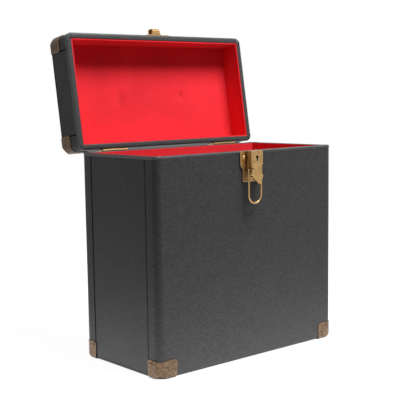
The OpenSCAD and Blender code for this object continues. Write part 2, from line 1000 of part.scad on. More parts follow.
// Catch on the lid: a plate with a hook that is open towards the lid's top
module hook_face_outline() {
    w = hook_w / 2;
    polygon([[-w, hook_out], [w, hook_out], [w, hook_root_r + plate_t], [w + hook_flare, plate_t],
        [-w - hook_flare, plate_t], [-w, hook_root_r + plate_t]]);
}

// The hook's curled strip seen from the side, as [distance out, height], drawn in by k
module hook_side_outline(k) {
    low = hook_z + k;
    high = hook_end - k;
    out = hook_out - k;
    a = hook_root_r - k;
    b = hook_tip_r - k;
    translate([0, low]) square([out - a, high - b - low]);
    translate([0, low + a]) square([out, high - b - low - a]);
    translate([0, low + a]) square([out - b, high - low - a]);
    translate([out - a, low + a]) circle(a);
    translate([out - b, high - b]) circle(b);
}

module lid_catch() {
    r = 2.5;
    color(brass) opened() difference() {
        union() {
            on_front() translate([0, catch_z + catch_h / 2, 0]) linear_extrude(plate_t)
                round_rect(catch_w, catch_h, r);
            intersection() {
                translate([0, -case_d / 2, hook_z]) mirror([0, 1, 0])
                    linear_extrude(hook_end - hook_z) hook_face_outline();
                along_x(-hook_w, 2 * hook_w) difference() {
                    hook_side_outline(0);
                    hook_side_outline(hook_t);
                    translate([-1, hook_z + hook_t + 1])
                        square([hook_lip + 1, hook_end - hook_z]);
                }
            }
        }
        catch_rivets(fixed_gap);
    }
}

module catch_rivets(g) {
    on_front() both_x() translate([catch_rivet_x, catch_z + catch_h / 2, plate_t])
        rivet(rivet_head_r, rivet_head_h, rivet_r, plate_t + wall_all, g);
}

// Handle, drawn on the shut lid: brackets on the top, grip turned to where it hangs
module handle_rivets(g) {
    for (x = [-1, 1], y = [-1, 1])
        translate([x * handle_span / 2, y * bracket_rivet_y, lid_top_z + bracket_t])
            rivet(rivet_head_r, rivet_head_h, rivet_r, bracket_t + wall_all, g);
}

module bracket_ear_outline() {
    translate([-ear_r, 0]) square([2 * ear_r, handle_up]);
    translate([0, handle_up]) circle(ear_r);
}

module handle_pin_shafts(g) {
    l = 2 * (grip_r + side_gap + bracket_ear_t) + 1;
    for (x = [-1, 1]) translate([x * handle_span / 2, 0, lid_top_z + handle_up])
        rotate([0, 90, 0]) cylinder(h = l, r = handle_pin_r + g, center = true);
}

module bracket() {
    color(brass) opened() difference() {
        translate([handle_span / 2, 0, lid_top_z]) {
            linear_extrude(bracket_t) round_rect(bracket_w, bracket_d, 3);
            for (s = [-1, 1])
                translate([s * (grip_r + side_gap + bracket_ear_t / 2), 0, 0])
                    translate([-bracket_ear_t / 2, 0, 0]) rotate([90, 0, 90])
                    linear_extrude(bracket_ear_t) bracket_ear_outline();
        }
        handle_pin_shafts(fixed_gap);
        handle_rivets(fixed_gap);
    }
}

module handle_bracket_right() {
    bracket();
}

module handle_bracket_left() {
    mirror([1, 0, 0]) bracket();
}

module handle_pins() {
    color(steel) opened() handle_pin_shafts(0);
}

module lid_rivets() {
    color(brass) opened() {
        catch_rivets(0);
        lid_leaf_rivets(0);
        handle_rivets(0);
    }
}

// Grip: a round bar with bent ends and an eye at each, drawn hanging along +Y of the shut lid
module grip_form() {
    x = handle_span / 2 - handle_bend_r;
    y = handle_rise - handle_bend_r;
    translate([-x, handle_rise, 0]) rotate([0, 90, 0]) cylinder(h = 2 * x, r = grip_r);
    both_x() {
        translate([x, y, 0]) rotate_extrude(angle = 90, $fn = 96)
            translate([handle_bend_r, 0]) circle(grip_r);
        translate([handle_span / 2, 0, 0]) rotate([-90, 0, 0]) cylinder(h = y, r = grip_r);
        translate([handle_span / 2, 0, 0]) rotate([0, 90, 0])
            cylinder(h = 2 * eye_r, r = eye_r, center = true);
    }
}

module handle_grip() {
    color(leatherette) opened() difference() {
        translate([0, 0, lid_top_z + handle_up]) rotate([hang_angle, 0, 0]) grip_form();
        handle_pin_shafts(run_gap);
    }
}

at_origin() body_front_board();
at_origin() body_back_board();
at_origin() body_left_board();
at_origin() body_right_board();
at_origin() body_bottom_board();
at_origin() body_front_wrap();
at_origin() body_back_wrap();
at_origin() body_left_cover();
at_origin() body_right_cover();
at_origin() body_bottom_cover();
at_origin() body_rim_binding();
at_origin() body_front_lining();
at_origin() body_back_lining();
at_origin() body_left_lining();
at_origin() body_right_lining();
at_origin() body_bottom_lining();
at_origin() lid_front_board();
at_origin() lid_back_board();
at_origin() lid_left_board();
at_origin() lid_right_board();
at_origin() lid_top_board();
at_origin() lid_front_wrap();
at_origin() lid_back_wrap();
at_origin() lid_left_cover();
at_origin() lid_right_cover();
at_origin() lid_top_cover();
at_origin() lid_rim_binding();
at_origin() lid_front_lining();
at_origin() lid_back_lining();
at_origin() lid_left_lining();
at_origin() lid_right_lining();
at_origin() lid_top_lining();
at_origin() body_cap_front_left();
at_origin() body_cap_front_right();
at_origin() body_cap_back_left();
at_origin() body_cap_back_right();
at_origin() lid_cap_front_left();
at_origin() lid_cap_front_right();
at_origin() lid_cap_back_left();
at_origin() lid_cap_back_right();
at_origin() body_cap_nails();
at_origin() lid_cap_nails();
at_origin() hinge_body_leaf_left();
at_origin() hinge_body_leaf_right();
at_origin() hinge_lid_leaf_left();
at_origin() hinge_lid_leaf_right();
at_origin() hinge_pins();
at_origin() body_rivets();
at_origin() lid_rivets();
at_origin() latch_plate();
at_origin() latch_lever();
at_origin() latch_pivots();
at_origin() latch_bail();
at_origin() lock_plug();
at_origin() lid_catch();
at_origin() handle_grip();
at_origin() handle_bracket_left();
at_origin() handle_bracket_right();
at_origin() handle_pins();
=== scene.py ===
"""Dresses a twelve-inch record carrying case in leatherette, red flock and aged brass."""

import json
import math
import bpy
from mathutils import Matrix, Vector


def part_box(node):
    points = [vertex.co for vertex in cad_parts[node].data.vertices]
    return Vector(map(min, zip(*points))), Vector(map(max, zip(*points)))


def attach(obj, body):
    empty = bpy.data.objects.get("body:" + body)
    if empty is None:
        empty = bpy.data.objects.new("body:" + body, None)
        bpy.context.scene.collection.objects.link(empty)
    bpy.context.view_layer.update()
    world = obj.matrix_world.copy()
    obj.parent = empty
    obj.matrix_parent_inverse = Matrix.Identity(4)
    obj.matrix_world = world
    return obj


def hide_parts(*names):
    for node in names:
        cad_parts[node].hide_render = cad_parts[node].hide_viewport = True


bl_info = {
    "name": "Record Carrying Case",
    "version": (1, 0, 0),
    "blender": (4, 5, 0),
    "location": "3D Viewport > Sidebar > Record Case",
    "description": "Covers, lines and fits out a record carrying case",
    "category": "Object",
}

import bmesh
import bpy
from bpy.props import FloatProperty, FloatVectorProperty, PointerProperty
from mathutils import Matrix, Vector, noise

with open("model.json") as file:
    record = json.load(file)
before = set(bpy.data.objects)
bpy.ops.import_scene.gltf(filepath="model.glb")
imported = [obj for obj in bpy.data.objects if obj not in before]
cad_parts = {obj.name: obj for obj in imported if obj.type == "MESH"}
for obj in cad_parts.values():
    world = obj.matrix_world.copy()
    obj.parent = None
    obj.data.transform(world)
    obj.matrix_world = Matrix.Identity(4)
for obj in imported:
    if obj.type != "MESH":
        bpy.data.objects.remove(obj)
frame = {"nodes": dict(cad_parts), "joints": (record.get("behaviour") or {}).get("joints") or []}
NODES = frame["nodes"]
JOINTS = {joint["name"]: joint for joint in frame["joints"]}

HINGE = Vector(JOINTS["lid_hinge"]["pos_m"])
OPEN_ANGLE = math.radians(JOINTS["lid_hinge"]["range_deg"][1])
BODY_LOW, BODY_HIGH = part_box("body_rim_binding")
CASE_WIDTH = BODY_HIGH.x - BODY_LOW.x
CASE_DEPTH = BODY_HIGH.y - BODY_LOW.y
MIDDLE_Y = (BODY_HIGH.y + BODY_LOW.y) / 2
RIM_TOP = BODY_HIGH.z
# Radius of the case's upright corners
CORNER_RADIUS = 0.01
# Board and leatherette together
WALL_THICKNESS = 0.008
LID_INSIDE_DEPTH = 0.036

# The lid's rim lies as far over the hinge's pin as the body's rim lies under it
LID_RIM = 2 * HINGE.z - RIM_TOP
# The folds of a binding are pressed flat before they reach the other rim
PRESSED_FOLD = 0.45 * (LID_RIM - RIM_TOP)
LINING_LOW, LINING_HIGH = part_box("body_bottom_lining")
LINING_THICKNESS = LINING_HIGH.z - LINING_LOW.z
LID_FELT = LID_RIM + LID_INSIDE_DEPTH
LID_TOP = LID_FELT + LINING_THICKNESS + WALL_THICKNESS
BRACKET_LOW, BRACKET_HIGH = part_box("handle_bracket_right")
HANDLE_SPAN = BRACKET_LOW.x + BRACKET_HIGH.x

# Outline of a rim's folded binding, as (inward, height) points from the rim's outer edge
RIM_PROFILE = (
    (0.0004, -0.0041),
    (0.0, -0.0042),
    (-0.0003, -0.0038),
    (-0.0003, -0.0028),
    (-0.0002, -0.0018),
    (0.0002, -0.001),
    (0.001, -0.0004),
    (0.0021, -0.00005),
    (0.0036, 0.0001),
    (0.0052, 0.00008),
    (0.0066, 0.00002),
    (0.0075, -0.00015),
    (0.008, -0.0006),
    (0.0081, -0.0011),
    (0.0072, -0.0012),
    (0.0014, -0.0012),
    (0.001, -0.002),
)
# Length of one face along a rim
RIM_STEP = 0.0016
CORNER_STEPS = 16
# How strongly each rim's binding is creased, apart from the folds at its corners
BODY_CREASES = 0.3
LID_CREASES = 1.0

# How far the end seams stop from the lid's rim and from its top
LID_SEAM_START = 0.0042
LID_SEAM_END = 0.0065
# Rows of stitches beside an end's panel: how deep they lie under the case's side, how far
# towards the back from the panel's edge, and the length and radius of one stitch
FRONT_STITCHES = (0.0005, 0.001, 0.0026, 0.0004)
BACK_STITCHES = (0.0006, 0.0011, 0.003, 0.0006)
# The round black cord in the front groove, painted shade that stands for the groove's shadow
SHADE_CORD_RADIUS = 0.0009
SHADE_CORD_BEFORE_PANEL = 0.001

# The grip's seam: its ridge, and the two rows of stitches beside it
RIDGE_RADIUS = 0.0011
RIDGE_DEPTH = 0.0002
RIDGE_END_MARGIN = 0.021
GRIP_STITCH_ASIDE = 0.0026
GRIP_STITCH_DEPTH = 0.0006
GRIP_STITCH_PITCH = 0.0034
GRIP_STITCH_LENGTH = 0.0022
GRIP_STITCH_RADIUS = 0.00038

# Dimples in the lid's felt: how far they lie towards its back, half-width and half-depth
LEFT_DIMPLE = (0.008, 0.007, 0.013)
RIGHT_DIMPLE = (0.003, 0.0036, 0.0055)
DIMPLED_CELLS = (224, 106)
# Unevenness of the felt all over
FELT_SLACK = 0.0001

CAP_THICKNESS = 0.001
# Round of the cap's tip, on its inside
BALL_RADIUS = 0.009
# Bend of the ball's foot round the corner, seen from under it
BALL_BEND = 0.045
# The ball's middle stands this far outside of where the plain upright radius puts it
BALL_SHIFT = 0.0005
# Distances between the cuts that a cap is bent at, outwards and downwards, and sideways
BALL_STEP = 0.00075
BALL_SIDE_STEP = 0.0012
# Room between a cap and the ball that it is pressed to
BALL_ROOM = 0.00005
# How far under the ball the covering and the boards are cut away
TRIM_DEPTH = 0.0018
# Fillets of the lower edges, at the front and back and at the ends
FRONT_FILLET = 0.004
END_FILLET = 0.003
MERGE_DISTANCE = 0.000002
CUT_TOLERANCE = 0.000005

CAMERA_SHIFT = (0.05975, 0.02973)
CAMERA_TARGET = Vector((-0.06805, MIDDLE_Y, 0.21229))
LAMP_PLACE = (0.3, -0.61, 1.72)
LAMP_AIM = (0, -0.05, 0.36)
LAMP_SIZE = (0.7, 0.6)
# Height of the table's glow over the floor
GLOW_HEIGHT = 0.002

# From the shut lid's place, where its pieces are easy to draw, to where it stands open
OPENED = (
    Matrix.Translation(HINGE)
    @ Matrix.Rotation(-OPEN_ANGLE, 4, "X")
    @ Matrix.Translation(-HINGE)
)


class CaseFinish(bpy.types.PropertyGroup):
    """Colours and textures of the case's own materials"""

    leatherette: FloatVectorProperty(
        name="Leatherette",
        description="Colour of the leatherette on the body and the lid",
        subtype="COLOR",
        size=3,
        min=0,
        max=1,
        default=(0.055, 0.0535, 0.0545),
    )
    grain: FloatProperty(
        name="Grain",
        description="Width of one pebble of the leatherette's grain",
        subtype="DISTANCE",
        unit="LENGTH",
        default=0.0013,
        min=0.0005,
        max=0.004,
    )
    rim: FloatVectorProperty(
        name="Rim",
        description="Colour of the thin leatherette bound over the rims",
        subtype="COLOR",
        size=3,
        min=0,
        max=1,
        default=(0.032, 0.032, 0.033),
    )
    felt: FloatVectorProperty(
        name="Felt",
        description="Colour of the flocked lining",
        subtype="COLOR",
        size=3,
        min=0,
        max=1,
        default=(0.84, 0.028, 0.042),
    )
    brass: FloatVectorProperty(
        name="Latch brass",
        description="Colour of the latch, the catch and the hinges",
        subtype="COLOR",
        size=3,
        min=0,
        max=1,
        default=(0.46, 0.285, 0.118),
    )
    aged_brass: FloatVectorProperty(
        name="Aged brass",
        description="Colour of the corner caps and their nails",
        subtype="COLOR",
        size=3,
        min=0,
        max=1,
        default=(0.115, 0.074, 0.044),
    )


class CaseSizes(bpy.types.PropertyGroup):
    """Sizes of what is sewn and folded on the case"""

    rim_wrinkle: FloatProperty(
        name="Rim wrinkle",
        description="Height of the folds that the binding gathers into at the corners",
        subtype="DISTANCE",
        unit="LENGTH",
        default=0.0007,
        min=0,
        max=0.001,
    )
    stitch_pitch: FloatProperty(
        name="Stitch pitch",
        description="Distance from one stitch of the end seams to the next",
        subtype="DISTANCE",
        unit="LENGTH",
        default=0.0046,
        min=0.002,
        max=0.008,
    )
    dimple_depth: FloatProperty(
        name="Dimple depth",
        description="How far the felt is drawn in where the handle is fixed",
        subtype="DISTANCE",
        unit="LENGTH",
        default=0.0016,
        min=0,
        max=0.0019,
    )


class CaseStage(bpy.types.PropertyGroup):
    """Camera and lamps"""

    azimuth: FloatProperty(
        name="Azimuth",
        description="Direction that the camera stands in, round the case from its front",
        subtype="ANGLE",
        default=math.radians(-39.6),
    )
    elevation: FloatProperty(
        name="Elevation",
        description="Height of the camera over the level of its target",
        subtype="ANGLE",
        default=math.radians(7.07),
    )
    distance: FloatProperty(
        name="Distance",
        description="Distance of the camera from its target",
        subtype="DISTANCE",
        unit="LENGTH",
        default=1.34538,
    )
    roll: FloatProperty(
        name="Roll",
        description="Tilt of the camera about its own axis",
        subtype="ANGLE",
        default=math.radians(-1.0),
    )
    lens: FloatProperty(
        name="Lens",
        description="Focal length of the camera, in millimetres on a 36 mm sensor",
        default=83.354,
    )
    lamp_power: FloatProperty(
        name="Lamp power",
        description="Power of the large lamp over the front of the case",
        default=38.0,
        min=0,
    )
    fill: FloatProperty(
        name="Fill",
        description="Brightness of the room round the case",
        default=0.12,
        min=0,
    )
    table_glow: FloatProperty(
        name="Table glow",
        description="Brightness of the lit table top round the case's foot",
        default=1.7,
        min=0,
    )
    table_glow_width: FloatProperty(
        name="Table glow width",
        description="Width of the lit strip of table round the case's foot",
        subtype="DISTANCE",
        unit="LENGTH",
        default=0.14,
        min=0.02,
        max=1,
    )
    floor_glow: FloatProperty(
        name="Floor glow",
        description="White that the floor adds to its own light, so that only its shadow shows",
        default=0.95,
        min=0,
        max=1,
    )
    floor_width: FloatProperty(
        name="Floor width",
        description="Width of the floor",
        subtype="DISTANCE",
        unit="LENGTH",
        default=2.4,
        min=1,
        max=12,
    )


# Materials


def group_sockets(tree, inputs, outputs):
    """Gives a node group its inputs, with their defaults, and its outputs."""
    for name, value in inputs.items():
        socket = tree.interface.new_socket(
            name=name, in_out="INPUT", socket_type="NodeSocketFloat"
        )
        socket.default_value = value
    for name in outputs:
        tree.interface.new_socket(name=name, in_out="OUTPUT", socket_type="NodeSocketFloat")
    return tree.nodes.new("NodeGroupInput"), tree.nodes.new("NodeGroupOutput")


def add_node(tree, kind, links=None, **settings):
    """Adds a node, sets its settings and inputs, and links the sockets given in links."""
    node = tree.nodes.new(kind)
    for key, value in settings.items():
        if hasattr(node, key):
            setattr(node, key, value)
        else:
            node.inputs[key].default_value = value
    for key, source in (links or {}).items():
        tree.links.new(source, node.inputs[key])
    return node


def ramp(tree, source, low, high):
    """Grey that runs from black at low to white at high."""
    node = add_node(tree, "ShaderNodeValToRGB", {"Fac": source})
    for element, place in zip(node.color_ramp.elements, (low, high)):
        element.position = place
    return node.outputs["Color"]


def spread(tree, source, low, high, first=0.0, last=1.0):
    """Values from low to high spread out from first to last."""
    node = add_node(tree, "ShaderNodeMapRange", {"Value": source})
    node.inputs["From Min"].default_value = low
    node.inputs["From Max"].default_value = high
    node.inputs["To Min"].default_value = first
    node.inputs["To Max"].default_value = last
    return node.outputs["Result"]


def per_metre(tree, width):
    """How many of that width there are in a metre, as the scale of a texture."""
    node = add_node(tree, "ShaderNodeMath", {1: width}, operation="DIVIDE")
    node.inputs[0].default_value = 1
    return node.outputs["Value"]


def add_scaled(tree, source, factor, added):
    """The source times a factor, and another value added to it."""
    node = add_node(tree, "ShaderNodeMath", {0: source, 2: added}, operation="MULTIPLY_ADD")
    node.inputs[1].default_value = factor
    return node.outputs["Value"]


def seen_rays(tree):
    """One for rays of the camera and of gloss, and nought for the others."""
    rays = add_node(tree, "ShaderNodeLightPath")
    sockets = {0: rays.outputs["Is Camera Ray"], 1: rays.outputs["Is Glossy Ray"]}
    return add_node(tree, "ShaderNodeMath", sockets, operation="MAXIMUM").outputs["Value"]


def pebble_grain_group():
    """Leatherette grain: rounded pebbles in uneven rows, slanted creases, and broad uneven tone.
    """
    tree = bpy.data.node_groups.new("Pebble grain", "ShaderNodeTree")
    start, end = group_sockets(
        tree, {"Pebble Width": 0.0013, "Unevenness": 0.5}, ("Height", "Mottle", "Creases")
    )
    place = add_node(tree, "ShaderNodeTexCoord").outputs["Object"]
    warp = add_node(tree, "ShaderNodeTexNoise", {"Vector": place}, Scale=260.0, Detail=2.0)
    shifted = add_node(
        tree,
        "ShaderNodeVectorMath",
        {0: warp.outputs["Color"], 3: start.outputs["Unevenness"]},
        operation="SCALE",
    )
    small = add_node(
        tree, "ShaderNodeVectorMath", {0: shifted.outputs["Vector"]}, operation="SCALE"
    )
    small.inputs[3].default_value = 0.003
    moved = add_node(
        tree,
        "ShaderNodeVectorMath",
        {0: place, 1: small.outputs["Vector"]},
        operation="ADD",
    )
    scale = per_metre(tree, start.outputs["Pebble Width"])
    cells = add_node(
        tree,
        "ShaderNodeTexVoronoi",
        {"Vector": moved.outputs["Vector"], "Scale": scale},
        feature="SMOOTH_F1",
        Smoothness=0.35,
    )
    fine = add_node(tree, "ShaderNodeTexNoise", {"Vector": place}, Scale=1400.0, Detail=3.0)
    height = add_scaled(tree, fine.outputs["Fac"], 0.35, cells.outputs["Distance"])
    broad = add_node(
        tree, "ShaderNodeTexNoise", {"Vector": place}, Scale=55.0, Detail=5.0, Roughness=0.62
    )
    slanted = add_node(tree, "ShaderNodeMapping", {"Vector": place})
    slanted.inputs["Rotation"].default_value = (0.5, 0.5, 0)
    slanted.inputs["Scale"].default_value = (0.45, 0.45, 1)
    creases = add_node(
        tree,
        "ShaderNodeTexNoise",
        {"Vector": slanted.outputs["Vector"]},
        Scale=420.0,
        Detail=3.0,
        Roughness=0.6,
    )
    folded = add_scaled(tree, creases.outputs["Fac"], 2.2, height)
    tree.links.new(folded, end.inputs["Height"])
    tree.links.new(broad.outputs["Fac"], end.inputs["Mottle"])
    tree.links.new(creases.outputs["Fac"], end.inputs["Creases"])
    return tree


def flock_group():
    """Flocked felt: short fibres and soft patches where the pile lies another way."""
    tree = bpy.data.node_groups.new("Flock", "ShaderNodeTree")
    start, end = group_sockets(tree, {"Fibre Width": 0.0006}, ("Height", "Pile"))
    place = add_node(tree, "ShaderNodeTexCoord").outputs["Object"]
    scale = per_metre(tree, start.outputs["Fibre Width"])
    fibres = add_node(
        tree, "ShaderNodeTexNoise", {"Vector": place, "Scale": scale}, Detail=4.0, Roughness=0.7
    )
    pile = add_node(
        tree, "ShaderNodeTexNoise", {"Vector": place}, Scale=16.0, Detail=6.0, Roughness=0.55
    )
    tree.links.new(fibres.outputs["Fac"], end.inputs["Height"])
    tree.links.new(pile.outputs["Fac"], end.inputs["Pile"])
    return tree


def tarnish_and_shade_group():
    """Clouds of brown on brass, small dark pits and brighter rubbed edges, with painted shade
    that darkens its crevices.
    """
    tree = bpy.data.node_groups.new("Tarnish and crevice shade", "ShaderNodeTree")
    start, end = group_sockets(
        tree,
        {"Cloud Size": 0.01, "Edge Width": 0.0008},
        ("Clouds", "Pits", "Rubbed Edge", "Crevice Shade"),
    )
    place = add_node(tree, "ShaderNodeTexCoord").outputs["Object"]
    scale = per_metre(tree, start.outputs["Cloud Size"])
    clouds = add_node(
        tree,
        "ShaderNodeTexNoise",
        {"Vector": place, "Scale": scale},
        Detail=8.0,
        Roughness=0.68,
        Distortion=0.4,
    )
    pits = add_node(tree, "ShaderNodeTexNoise", {"Vector": place}, Scale=900.0, Detail=2.0)
    rounded = add_node(
        tree, "ShaderNodeBevel", {"Radius": start.outputs["Edge Width"]}, samples=8
    )
    surface = add_node(tree, "ShaderNodeNewGeometry")
    turn = add_node(
        tree,
        "ShaderNodeVectorMath",
        {0: rounded.outputs["Normal"], 1: surface.outputs["Normal"]},
        operation="DOT_PRODUCT",
    )
    # Painted shade: ambient occlusion darkens the crevices round nail heads, rivets and folds
    around = add_node(tree, "ShaderNodeAmbientOcclusion", samples=8, Distance=0.004)
    tree.links.new(clouds.outputs["Fac"], end.inputs["Clouds"])
    tree.links.new(spread(tree, pits.outputs["Fac"], 0.64, 0.8), end.inputs["Pits"])
    rubbed = spread(tree, turn.outputs["Value"], 0.995, 0.9)
    tree.links.new(rubbed, end.inputs["Rubbed Edge"])
    tree.links.new(spread(tree, around.outputs["AO"], 0.92, 0.5), end.inputs["Crevice Shade"])
    return tree


def add_group(tree, name, **values):
    """Adds the node group of that name, which is made once, and sets its inputs."""
    makers = {
        "Pebble grain": pebble_grain_group,
        "Flock": flock_group,
        "Tarnish and crevice shade": tarnish_and_shade_group,
    }
    node = tree.nodes.new("ShaderNodeGroup")
    node.node_tree = bpy.data.node_groups.get(name) or makers[name]()
    for key, value in values.items():
        node.inputs[key.replace("_", " ")].default_value = value
    return node


def new_material(name):
    """A new material with its node tree and its main shader."""
    material = bpy.data.materials.new(name)
    material.use_nodes = True
    shader = material.node_tree.nodes["Principled BSDF"]
    return material, material.node_tree, shader


def tinted(tree, mask, dark, light):
    """Colour that runs from dark to light with a mask."""
    mix = add_node(tree, "ShaderNodeMix", {"Factor": mask}, data_type="RGBA")
    mix.inputs[6].default_value = (*dark, 1)
    mix.inputs[7].default_value = (*light, 1)
    return mix.outputs[2]


def covered(tree, mask, base, colour):
    """The base's colour, with another over it where the mask is white."""
    mix = add_node(tree, "ShaderNodeMix", {"Factor": mask}, data_type="RGBA")
    tree.links.new(base, mix.inputs[6])
    mix.inputs[7].default_value = (*colour, 1)
    return mix.outputs[2]


def multiplied(tree, base, factor):
    """The base's colour times a grey."""
    mix = add_node(tree, "ShaderNodeMix", data_type="RGBA", blend_type="MULTIPLY")
    mix.inputs["Factor"].default_value = 1.0
    tree.links.new(base, mix.inputs[6])
    tree.links.new(factor, mix.inputs[7])
    return mix.outputs[2]


def shade(colour, factor):
    """The colour made darker or lighter by a factor."""
    return tuple(min(1.0, c * factor) for c in colour)


def relief(tree, shader, height, strength, distance, normal=None):
    """Fine relief of a material's surface, over a normal where one is given."""
    bump = add_node(tree, "ShaderNodeBump", {"Height": height})
    bump.inputs["Strength"].default_value = strength
    bump.inputs["Distance"].default_value = distance
    if normal is not None:
        tree.links.new(normal, bump.inputs["Normal"])
    tree.links.new(bump.outputs["Normal"], shader.inputs["Normal"])


def leatherette_material(name, colour, grain, roughness=0.52, depth=0.00012, gloss=0.12):
    material, tree, shader = new_material(name)
    leather = add_group(tree, "Pebble grain", Pebble_Width=grain)
    mottle = ramp(tree, leather.outputs["Mottle"], 0.3, 0.72)
    base = tinted(tree, mottle, shade(colour, 0.93), shade(colour, 1.07))
    # Painted shade and highlight: the colour darkens where the creases sink and lightens where
    # they rise
    crease_shading = spread(tree, leather.outputs["Creases"], 0.3, 0.7, 0.74, 1.26)
    tree.links.new(multiplied(tree, base, crease_shading), shader.inputs["Base Color"])
    rough = spread(
        tree, leather.outputs["Mottle"], 0.3, 0.7, roughness - 0.07, roughness + 0.07
    )
    tree.links.new(rough, shader.inputs["Roughness"])
    shader.inputs["Specular IOR Level"].default_value = gloss
    relief(tree, shader, leather.outputs["Height"], 0.55, depth)
    return material


def felt_material(name, colour):
    material, tree, shader = new_material(name)
    flock = add_group(tree, "Flock", Fibre_Width=0.0007)
    patches = ramp(tree, flock.outputs["Pile"], 0.32, 0.7)
    base = tinted(tree, patches, shade(colour, 0.9), shade(colour, 1.08))
    specks = spread(tree, flock.outputs["Height"], 0.3, 0.7, 0.86, 1.08)
    piled = multiplied(tree, base, specks)
    # Painted shade: the felt is darker over the dimples, where the handle's rivets draw the panel
    # in
    dimple_shade = add_node(tree, "ShaderNodeAttribute", attribute_name="dimple_shade").outputs["Fac"]
    final = covered(tree, dimple_shade, piled, shade(colour, 0.8))
    tree.links.new(final, shader.inputs["Base Color"])
    shader.inputs["Roughness"].default_value = 0.95
    shader.inputs["Specular IOR Level"].default_value = 0.15
    shader.inputs["Sheen Weight"].default_value = 0.15
    shader.inputs["Sheen Roughness"].default_value = 0.5
    shader.inputs["Sheen Tint"].default_value = (1, 0.35, 0.35, 1)
    relief(tree, shader, flock.outputs["Height"], 0.5, 0.00025)
    return material


def brass_material(
    name, colour, pits, rubbing, roughness, cloud_size, darkest, brightest, metallic, edge_width
):
    material, tree, shader = new_material(name)
    tarnish_and_shade = add_group(tree, "Tarnish and crevice shade", Cloud_Size=cloud_size, Edge_Width=edge_width)
    clouds = ramp(tree, tarnish_and_shade.outputs["Clouds"], 0.34, 0.66)
    base = tinted(tree, clouds, shade(colour, darkest), shade(colour, brightest))
    base = covered(tree, tarnish_and_shade.outputs["Pits"], base, pits)
    base = covered(tree, tarnish_and_shade.outputs["Rubbed Edge"], base, rubbing)
    # Painted shade: the colour goes nearly black in the crevices
    base = covered(tree, tarnish_and_shade.outputs["Crevice Shade"], base, shade(colour, 0.22))
    tree.links.new(base, shader.inputs["Base Color"])
    shader.inputs["Metallic"].default_value = metallic
    shader.inputs["Specular IOR Level"].default_value = 0.15
    rough = spread(
        tree, tarnish_and_shade.outputs["Clouds"], 0.3, 0.7, roughness + 0.12, roughness - 0.08
    )
    tree.links.new(rough, shader.inputs["Roughness"])
    rounded = add_node(tree, "ShaderNodeBevel", samples=8, Radius=edge_width * 0.5)
    relief(
        tree, shader, tarnish_and_shade.outputs["Clouds"], 0.35, 0.0002, rounded.outputs["Normal"]
    )
    return material


def steel_material(name, dark, light):
    material, tree, shader = new_material(name)
    tarnish_and_shade = add_group(tree, "Tarnish and crevice shade", Cloud_Size=0.004)
    base = tinted(tree, ramp(tree, tarnish_and_shade.outputs["Clouds"], 0.3, 0.7), dark, light)
    tree.links.new(base, shader.inputs["Base Color"])
    shader.inputs["Metallic"].default_value = 1.0
    shader.inputs["Roughness"].default_value = 0.36
    relief(tree, shader, tarnish_and_shade.outputs["Clouds"], 0.2, 0.0001)
    return material


def board_material():
    """Plywood coloured near-black as painted shade, which shows only at the bottom of the seams.
    """
    material, tree, shader = new_material("Board darkened as seam shade")
    place = add_node(tree, "ShaderNodeTexCoord")
    stretched = add_node(tree, "ShaderNodeMapping", {"Vector": place.outputs["Object"]})
    stretched.inputs["Scale"].default_value = (300, 300, 12)
    fibre = add_node(
        tree, "ShaderNodeTexNoise", {"Vector": stretched.outputs["Vector"]}, Scale=1.0, Detail=4.0
    )
    grain = ramp(tree, fibre.outputs["Fac"], 0.3, 0.7)
    # Painted shade: near-black, so that the seams look as dark as their shadow
    base = tinted(tree, grain, (0.006, 0.006, 0.006), (0.016, 0.015, 0.014))
    tree.links.new(base, shader.inputs["Base Color"])
    shader.inputs["Roughness"].default_value = 0.8
    shader.inputs["Specular IOR Level"].default_value = 0.05
    relief(tree, shader, fibre.outputs["Fac"], 0.3, 0.0002)
    return material


# Black thread for the stitches, also used for the cord that stands for the front grooves' shade
def thread_and_shade_material():
    material, tree, shader = new_material("Black thread and seam shade")
    place = add_node(tree, "ShaderNodeTexCoord")
    twist = add_node(
        tree, "ShaderNodeTexWave", {"Vector": place.outputs["Object"]}, Scale=700.0
    )
    base = tinted(tree, twist.outputs["Fac"], (0.008, 0.008, 0.008), (0.022, 0.022, 0.022))
    tree.links.new(base, shader.inputs["Base Color"])
    shader.inputs["Roughness"].default_value = 0.7
    shader.inputs["Specular IOR Level"].default_value = 0.05
    relief(tree, shader, twist.outputs["Fac"], 0.5, 0.0001)
    return material


def material_for(name):
    """The case's material of that name, made once."""
    finish = bpy.context.scene.case_finish
    found = bpy.data.materials.get(name)
    if found:
        return found
    if name == "Leatherette":
        return leatherette_material(name, finish.leatherette, finish.grain)
    if name == "Rim leatherette":
        return leatherette_material(
            name, finish.rim, finish.grain * 0.8, roughness=0.4, depth=0.0003, gloss=0.4
        )
    if name == "Grip leather":
        return leatherette_material(
            name, shade(finish.leatherette, 0.9), grain=0.0016, roughness=0.42, depth=0.0002
        )
    if name == "Red flock":
        return felt_material(name, finish.felt)
    if name == "Latch brass":
        return brass_material(
            name,
            finish.brass,
            pits=shade(finish.brass, 0.5),
            rubbing=shade(finish.brass, 1.5),
            roughness=0.32,
            cloud_size=0.006,
            darkest=0.7,
            brightest=1.15,
            metallic=0.85,
            edge_width=0.0007,
        )
    if name == "Aged brass":
        return brass_material(
            name,
            finish.aged_brass,
            pits=(0.3, 0.15, 0.055),
            rubbing=(0.36, 0.2, 0.105),
            roughness=0.4,
            cloud_size=0.004,
            darkest=0.4,
            brightest=1.5,
            metallic=0.5,
            edge_width=0.0014,
        )
    if name == "Plain steel":
        return steel_material(name, dark=(0.3, 0.29, 0.28), light=(0.55, 0.54, 0.52))
    # Near-black, as painted shade seen through the keyhole
    if name == "Near-black steel as keyhole shade":
        return steel_material(name, dark=(0.02, 0.02, 0.02), light=(0.06, 0.058, 0.055))
    if name == "Board darkened as seam shade":
        return board_material()
    return thread_and_shade_material()


